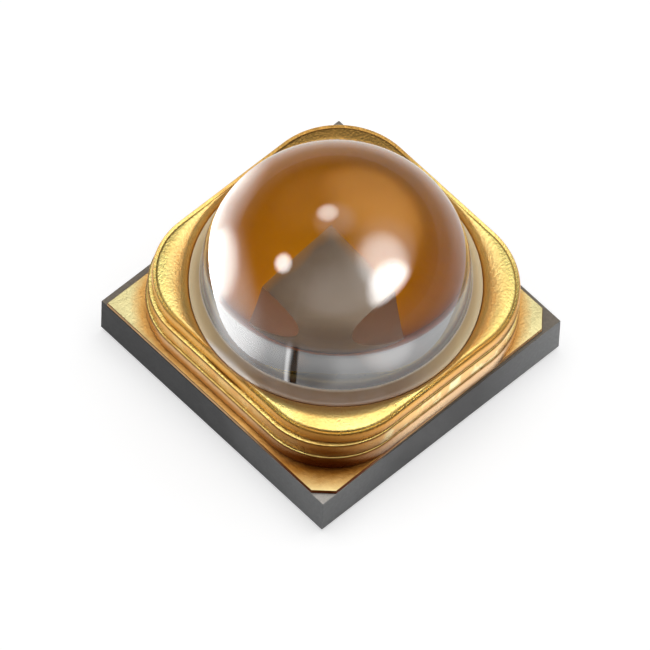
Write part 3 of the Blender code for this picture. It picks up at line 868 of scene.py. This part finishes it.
class UVLED_OT_quartz_lens(bpy.types.Operator):
    """Build the polished half-ball lens on its short skirt"""

    bl_idname = "uv_led.quartz_lens"
    bl_label = "Quartz Lens"

    def execute(self, context):
        sizes = context.scene.uv_led_lens
        bm = bmesh.new()
        bmesh.ops.create_uvsphere(bm, u_segments=sizes.steps, v_segments=sizes.steps // 2, radius=LENS_RADIUS)
        everything = bm.verts[:] + bm.edges[:] + bm.faces[:]
        bmesh.ops.bisect_plane(bm, geom=everything, plane_co=(0, 0, 0), plane_no=(0, 0, 1), clear_inner=True)
        rim = [edge for edge in bm.edges if edge.is_boundary]
        grown = bmesh.ops.extrude_edge_only(bm, edges=rim)
        foot = [item for item in grown["geom"] if isinstance(item, bmesh.types.BMVert)]
        bmesh.ops.translate(bm, vec=(0.0, 0.0, -sizes.skirt), verts=foot)
        rim = [edge for edge in bm.edges if edge.is_boundary]
        bmesh.ops.edgeloop_fill(bm, edges=rim)
        rim = [edge for edge in bm.edges if all(vert in foot for vert in edge.verts)]
        round_off(bm, rim, sizes.edge_break, 3)
        place = (LENS_CENTRE.x, LENS_CENTRE.y, LENS_BOX[0].z + sizes.skirt)
        bmesh.ops.translate(bm, vec=place, verts=bm.verts)
        bmesh.ops.recalc_face_normals(bm, faces=bm.faces)
        made = object_from("quartz_ball_lens", bm)
        # The flat underside stays flat, or its tilted shading would shift what it mirrors
        shade_round(made.data, 15)
        settle(made, fused_quartz(), "quartz", "quartz_lens")
        return {"FINISHED"}


# Facets across the adhesive's fillet, and how far the adhesive stops short of the ledge's inner edge
FILLET_STEPS = 14
SEAT_INSET = 0.02 * MM


def adhesive_section():
    """The bond line under the lens and the hollow fillet that fills the recess round it."""
    sizes = bpy.context.scene.uv_led_lens
    walls = bpy.context.scene.uv_led_frame
    inner = LENS_RADIUS + SEAT_GAP
    outer = LENS_RADIUS + walls.recess_clearance - SEAT_GAP
    under = LENS_BOX[0].z - SEAT_GAP
    top = WALL_BOX[1].z
    low, high = top - sizes.drop, top + sizes.climb
    fillet = []
    for step in range(FILLET_STEPS + 1):
        share = step / FILLET_STEPS
        sag = (1 - math.cos(share * math.pi / 2)) ** 1.5
        fillet.append((outer + (inner - outer) * share, low + (high - low) * sag))
    bond = ADHESIVE_BOX[0].z
    seat = LENS_RADIUS - walls.seat_width + SEAT_INSET
    return [
        (seat, bond),
        (outer, bond),
        *fillet,
        (inner, under + sizes.edge_break),
        (inner - sizes.edge_break, under),
        (seat, under),
    ]


class UVLED_OT_lens_adhesive(bpy.types.Operator):
    """Build the ring of clear adhesive between the lens and the frame"""

    bl_idname = "uv_led.lens_adhesive"
    bl_label = "Lens Adhesive"

    def execute(self, context):
        sizes = context.scene.uv_led_lens
        bm = turned(adhesive_section(), sizes.steps, LENS_CENTRE)
        top = WALL_BOX[1].z
        for vert in bm.verts:
            share = (vert.co.z - (top - sizes.drop * 1.5)) / (sizes.climb + sizes.drop)
            if share > 0.0:
                wave = noise.noise(vert.co / MM * 1.7) + noise.noise(vert.co / MM * 6.0) * 0.4
                vert.co.z += wave * sizes.waviness * min(1.0, share)
        made = object_from("clear_adhesive_ring", bm)
        shade_round(made.data, 40)
        settle(made, clear_adhesive(), "adhesive", "lens_adhesive")
        return {"FINISHED"}


# Finishes of the small parts: name, colour, roughness, grains a millimetre, how metallic it is, and its nodes
CHIP_PARTS = (
    ("grown layers", (0.30, 0.29, 0.33), 0.3, 12.0, 0.0, "chip_grown_layers"),
    ("chip contact", (0.85, 0.70, 0.45), 0.3, 20.0, 1.0, "contact_n", "contact_p"),
    ("gold tin solder", (0.72, 0.62, 0.45), 0.45, 18.0, 1.0, "solder_n", "solder_p"),
)
DIODE_PARTS = (
    ("diode silicon", (0.16, 0.16, 0.18), 0.25, 30.0, 0.4, "protection_diode"),
    ("silver die attach", (0.62, 0.62, 0.60), 0.5, 40.0, 0.8, "diode_die_attach"),
    ("bond pad metal", (0.80, 0.80, 0.78), 0.35, 40.0, 1.0, "diode_bond_pad"),
    ("wire gold", (0.86, 0.60, 0.20), 0.18, 60.0, 1.0, "bond_wire"),
)


def finish_small_parts(parts):
    """Gives each of these parts its finish."""
    for name, colour, roughness, scale, metallic, *nodes in parts:
        finish_nodes(worked_metal(name, colour, roughness, scale, metallic), *nodes)


class UVLED_OT_chip(bpy.types.Operator):
    """Give the chip, its layers, contacts and solder their finishes"""

    bl_idname = "uv_led.chip"
    bl_label = "Chip"

    def execute(self, context):
        finish_nodes(chip_sapphire(), "chip_sapphire")
        finish_small_parts(CHIP_PARTS)
        return {"FINISHED"}


class UVLED_OT_protection_diode(bpy.types.Operator):
    """Give the protection diode, its pads and its bond wire their finishes"""

    bl_idname = "uv_led.protection_diode"
    bl_label = "Protection Diode"

    def execute(self, context):
        finish_small_parts(DIODE_PARTS)
        return {"FINISHED"}


class UVLED_OT_ceramic_base(bpy.types.Operator):
    """Give the ceramic base and its copper vias their finishes"""

    bl_idname = "uv_led.ceramic_base"
    bl_label = "Ceramic Base"

    def execute(self, context):
        finish_nodes(sintered_ceramic(), "ceramic_base")
        vias = [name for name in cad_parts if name.startswith("via_")]
        finish_nodes(worked_metal("filled via", (0.78, 0.42, 0.28), 0.4, 30.0), *vias)
        return {"FINISHED"}


def studio_direction(azimuth, elevation):
    """Unit vector towards this place in the studio, in degrees."""
    a, e = math.radians(azimuth), math.radians(elevation)
    return Vector((math.sin(a) * math.cos(e), -math.cos(a) * math.cos(e), math.sin(e)))


# Broad lights of the room: azimuth and elevation, half angle of the core and of the edge, strength
ROOM_LIGHTS = (
    (0.0, 90.0, 12.0, 40.0, 1.6),
    (135.0, 62.0, 6.0, 32.0, 0.55),
    (45.0, 58.0, 8.0, 40.0, 0.6),
    (-135.0, 58.0, 8.0, 40.0, 0.6),
    (90.0, 40.0, 4.0, 30.0, 0.45),
)

# Lit part of the walls that shows inside the lens: levels at two elevations, where it fades out above, and
# the share that stays there
LIT_WALL = ((0.17, 30.0), (0.33, 38.0), (40.0, 43.5))
DIM_WALL = 0.12
WALL_LIGHTS = (
    (95.0, 38.0, 3.0, 15.0, 0.28),
    (155.0, 41.0, 1.0, 9.0, 0.18),
    (128.0, 36.0, 1.0, 9.0, -0.12),
)

# Narrow upright streaks on them: azimuth, half width as a share of the distance, change of level
WALL_STREAKS = ((119.8, 0.014, 0.38), (122.2, 0.022, -0.28))

# Highlights that only the polished lens shows
HIGHLIGHTS = (
    (13.0, 27.0, 10.0, 26.0, 27.0),
    (26.0, 47.0, 6.0, 28.0, 13.0),
    (28.0, 42.0, 10.0, 44.0, 2.5),
    (-45.0, 36.0, 3.0, 36.0, 1.6),
    (-115.0, 40.0, 1.0, 9.5, 27.0),
    (157.0, 67.0, 1.0, 10.0, 13.0),
    (145.0, 75.0, 3.0, 20.0, 2.5),
    (-146.0, -16.0, 3.0, 22.0, 12.0),
    (-134.0, -27.0, 8.0, 44.0, 4.5),
    (-175.0, -22.0, 2.0, 26.0, 2.5),
)

# Golden glow beside them
WARM_HIGHLIGHTS = (
    (100.0, 40.0, 2.0, 44.0, 5.5),
    (65.0, 48.0, 6.0, 42.0, 3.0),
    (160.0, 50.0, 4.0, 40.0, 1.5),
)
WARMTH = (1.0, 0.50, 0.16)

# Elevations between which the highlights above the floor fade in
GLOW_EDGE = (20.0, 27.0)

# Side of the camera, left dark, and the dark and the bright side of the floor
DARK_SIDE = (-45.0, 57.0, 14.0, 34.0, 0.92)
DARK_FLOOR = (-45.0, 0.0, 15.0, 50.0, 0.85)
BRIGHT_FLOOR = (20.0, 0.0, 15.0, 60.0, 0.7)


def lobe(tree, direction, light):
    """Level of one soft round light in each direction."""
    azimuth, elevation, core, edge, strength = light
    inputs = {
        "Value": on_vectors(tree, "DOT_PRODUCT", direction, studio_direction(azimuth, elevation))["Value"],
        "From Min": math.cos(math.radians(edge)),
        "From Max": math.cos(math.radians(core)),
        "To Max": strength,
    }
    return add_node(tree, "ShaderNodeMapRange", inputs, interpolation_type="SMOOTHSTEP").outputs["Result"]


def lobes(tree, direction, lights, total):
    """These lights added to a first level."""
    for light in lights:
        total = plus(tree, total, lobe(tree, direction, light))
    return total


def sine(degrees):
    """Height of a unit vector at this elevation."""
    return math.sin(math.radians(degrees))


def highlights(tree, direction):
    """Level of the highlights in each direction."""
    height = axes(tree, direction)["Z"]
    edge = spread(tree, height, sine(GLOW_EDGE[0]), sine(GLOW_EDGE[1]))
    total = 0.0
    for light in HIGHLIGHTS:
        level = lobe(tree, direction, light)
        if light[1] > 0.0:
            level = times(tree, level, edge)
        total = plus(tree, total, level)
    return total


def wall_inside(tree, direction, height):
    """Level of what the lens shows of the walls after one reflection inside it."""
    (low, start), (high, end), (fade, gone) = LIT_WALL
    total = lobes(tree, direction, WALL_LIGHTS, spread(tree, height, sine(start), sine(end), low, high))
    for azimuth, half_width, strength in WALL_STREAKS:
        side = on_vectors(tree, "DOT_PRODUCT", direction, studio_direction(azimuth + 90.0, 0.0))["Value"]
        away = calculate(tree, "ABSOLUTE", side)
        total = plus(tree, total, spread(tree, away, half_width * 0.3, half_width, strength, 0.0))
    return times(tree, total, spread(tree, height, sine(fade), sine(gone), 1.0, DIM_WALL))


def polished_mirror(tree):
    """1 for what the lens mirrors on its polished surface."""
    path = add_node(tree, "ShaderNodeLightPath").outputs
    return times(tree, path["Is Singular Ray"], path["Is Reflection Ray"])


def inner_mirror(tree):
    """1 for what the lens mirrors once inside."""
    path = add_node(tree, "ShaderNodeLightPath").outputs
    shallow = calculate(tree, "LESS_THAN", path["Transmission Depth"], 2.5)
    return times(tree, path["Is Transmission Ray"], shallow)


def light_room():
    """Broad soft lights on dim walls, dark towards the camera, with a few highlights for the gloss."""
    world = bpy.data.worlds.new("soft studio")
    world.use_nodes = True
    tree = world.node_tree
    direction = add_node(tree, "ShaderNodeTexCoord").outputs["Generated"]
    height = axes(tree, direction)["Z"]
    room = lobes(tree, direction, ROOM_LIGHTS, bpy.context.scene.uv_led_studio.ambient)
    room = times(tree, room, calculate(tree, "SUBTRACT", 1.0, lobe(tree, direction, DARK_SIDE)))
    gloss = plus(tree, highlights(tree, direction), spread(tree, height, 0.0, 0.3, 0.45, 0.05))
    warm = lobes(tree, direction, WARM_HIGHLIGHTS, 0.0)
    warm = times(tree, warm, spread(tree, height, 0.0, 0.3))
    gloss = on_vectors(tree, "MULTIPLY_ADD", warm, WARMTH, gloss)["Vector"]
    seen = mix_colours(tree, polished_mirror(tree), room, gloss)
    seen = mix_colours(tree, inner_mirror(tree), seen, wall_inside(tree, direction, height))
    below = spread(tree, height, -0.03, 0.0, 1.0, 0.0)
    seen = on_vectors(tree, "MAXIMUM", seen, below)["Vector"]
    tree.links.new(seen, tree.nodes["Background"].inputs["Color"])
    bpy.context.scene.world = world


# Half width of the floor in metres, its grey, and how much it glows by itself where it shows
FLOOR_REACH = 0.4
FLOOR_GREY = 0.60
FLOOR_GLOW = 0.60


def floor_rings(tree, where):
    """Level of the floor as the gold mirrors it, by heading and by distance from the object."""
    away = on_vectors(tree, "LENGTH", where)["Value"]
    heading = on_vectors(tree, "NORMALIZE", where)["Vector"]
    far = calculate(tree, "SUBTRACT", 1.0, lobe(tree, heading, DARK_FLOOR))
    far = times(tree, far, spread(tree, away, 5.0, 10.0, 1.0, 0.35))
    near = times(tree, lobe(tree, heading, BRIGHT_FLOOR), spread(tree, away, 3.0, 4.5, 1.0, 0.0))
    return plus(tree, far, near)


def pale_floor():
    """A pale floor that shows white and keeps the object's shadow."""
    bm = bmesh.new()
    bmesh.ops.create_grid(bm, x_segments=4, y_segments=4, size=FLOOR_REACH)
    floor = object_from("floor", bm)
    material, tree, shader = new_material("pale floor")
    path = add_node(tree, "ShaderNodeLightPath").outputs
    where = millimetres(tree)
    mirrored = calculate(tree, "MAXIMUM", path["Is Glossy Ray"], path["Is Transmission Ray"])
    mirrored = times(tree, mirrored, floor_rings(tree, where))
    seen = calculate(tree, "MAXIMUM", path["Is Camera Ray"], mirrored)
    down = on_vectors(tree, "SUBTRACT", where, LENS_CENTRE / MM)["Vector"]
    down = on_vectors(tree, "NORMALIZE", down)["Vector"]
    gloss = times(tree, highlights(tree, down), polished_mirror(tree))
    link_inputs(
        tree,
        shader,
        Base_Color=(FLOOR_GREY, FLOOR_GREY, FLOOR_GREY, 1.0),
        Roughness=0.9,
        Emission_Color=(1.0, 1.0, 1.0, 1.0),
        Emission_Strength=plus(tree, times(tree, seen, FLOOR_GLOW), gloss),
    )
    floor.data.materials.append(material)


# Camera's film in millimetres, its near and far limits, and how far it aims off the base's middle
SENSOR_WIDTH = 36.0
CLIP = (0.001, 10.0)
AIM_LEFT = 0.0651 * MM
AIM_DOWN = 0.1511 * MM


def place_camera():
    """A long lens at the photograph's angle."""
    studio = bpy.context.scene.uv_led_studio
    azimuth, elevation, roll = studio.azimuth, studio.elevation, studio.roll
    back = studio_direction(math.degrees(azimuth), math.degrees(elevation))
    level = Vector((math.cos(azimuth), math.sin(azimuth), 0.0))
    rise = back.cross(level)
    right = level * math.cos(roll) + rise * math.sin(roll)
    up = back.cross(right)
    data = bpy.data.cameras.new("camera")
    data.lens = studio.lens
    data.sensor_width = SENSOR_WIDTH
    data.clip_start, data.clip_end = CLIP
    camera = bpy.data.objects.new("camera", data)
    aim = Vector((0.0, 0.0, BASE_BOX[1].z)) - right * AIM_LEFT - up * AIM_DOWN
    turn = Matrix((right, up, back)).transposed().to_4x4()
    camera.matrix_world = Matrix.Translation(aim + back * studio.distance) @ turn
    bpy.context.scene.collection.objects.link(camera)
    bpy.context.scene.camera = camera


class UVLED_OT_stage(bpy.types.Operator):
    """Add the pale floor, the soft light and the camera"""

    bl_idname = "uv_led.stage"
    bl_label = "Stage"

    def execute(self, context):
        pale_floor()
        light_room()
        place_camera()
        context.scene.view_settings.view_transform = "Standard"
        return {"FINISHED"}


OPERATORS = (
    UVLED_OT_plated_frame,
    UVLED_OT_quartz_lens,
    UVLED_OT_lens_adhesive,
    UVLED_OT_chip,
    UVLED_OT_protection_diode,
    UVLED_OT_ceramic_base,
    UVLED_OT_stage,
)
SETTINGS = {
    "uv_led_frame": PlatedFrameSizes,
    "uv_led_lens": LensSizes,
    "uv_led_colours": Colours,
    "uv_led_studio": StudioSettings,
}


class UVLED_PT_panel(bpy.types.Panel):
    """Lists the operators and the sizes they use"""

    bl_idname = "UVLED_PT_panel"
    bl_label = "Ultraviolet LED"
    bl_space_type = "VIEW_3D"
    bl_region_type = "UI"
    bl_category = "UV LED"

    def draw(self, context):
        for operator in OPERATORS:
            self.layout.operator(operator.bl_idname)
        for name, group in SETTINGS.items():
            box = self.layout.box()
            for key in group.__annotations__:
                box.prop(getattr(context.scene, name), key)


def register():
    for kind in (*SETTINGS.values(), *OPERATORS, UVLED_PT_panel):
        bpy.utils.register_class(kind)
    for name, group in SETTINGS.items():
        setattr(bpy.types.Scene, name, PointerProperty(type=group))


def unregister():
    for name in SETTINGS:
        delattr(bpy.types.Scene, name)
    for kind in (UVLED_PT_panel, *reversed(OPERATORS), *reversed(SETTINGS.values())):
        bpy.utils.unregister_class(kind)


def main():
    register()
    bpy.ops.uv_led.plated_frame()
    bpy.ops.uv_led.quartz_lens()
    bpy.ops.uv_led.lens_adhesive()
    bpy.ops.uv_led.chip()
    bpy.ops.uv_led.protection_diode()
    bpy.ops.uv_led.ceramic_base()
    bpy.ops.uv_led.stage()


if __name__ == "__main__":
    main()
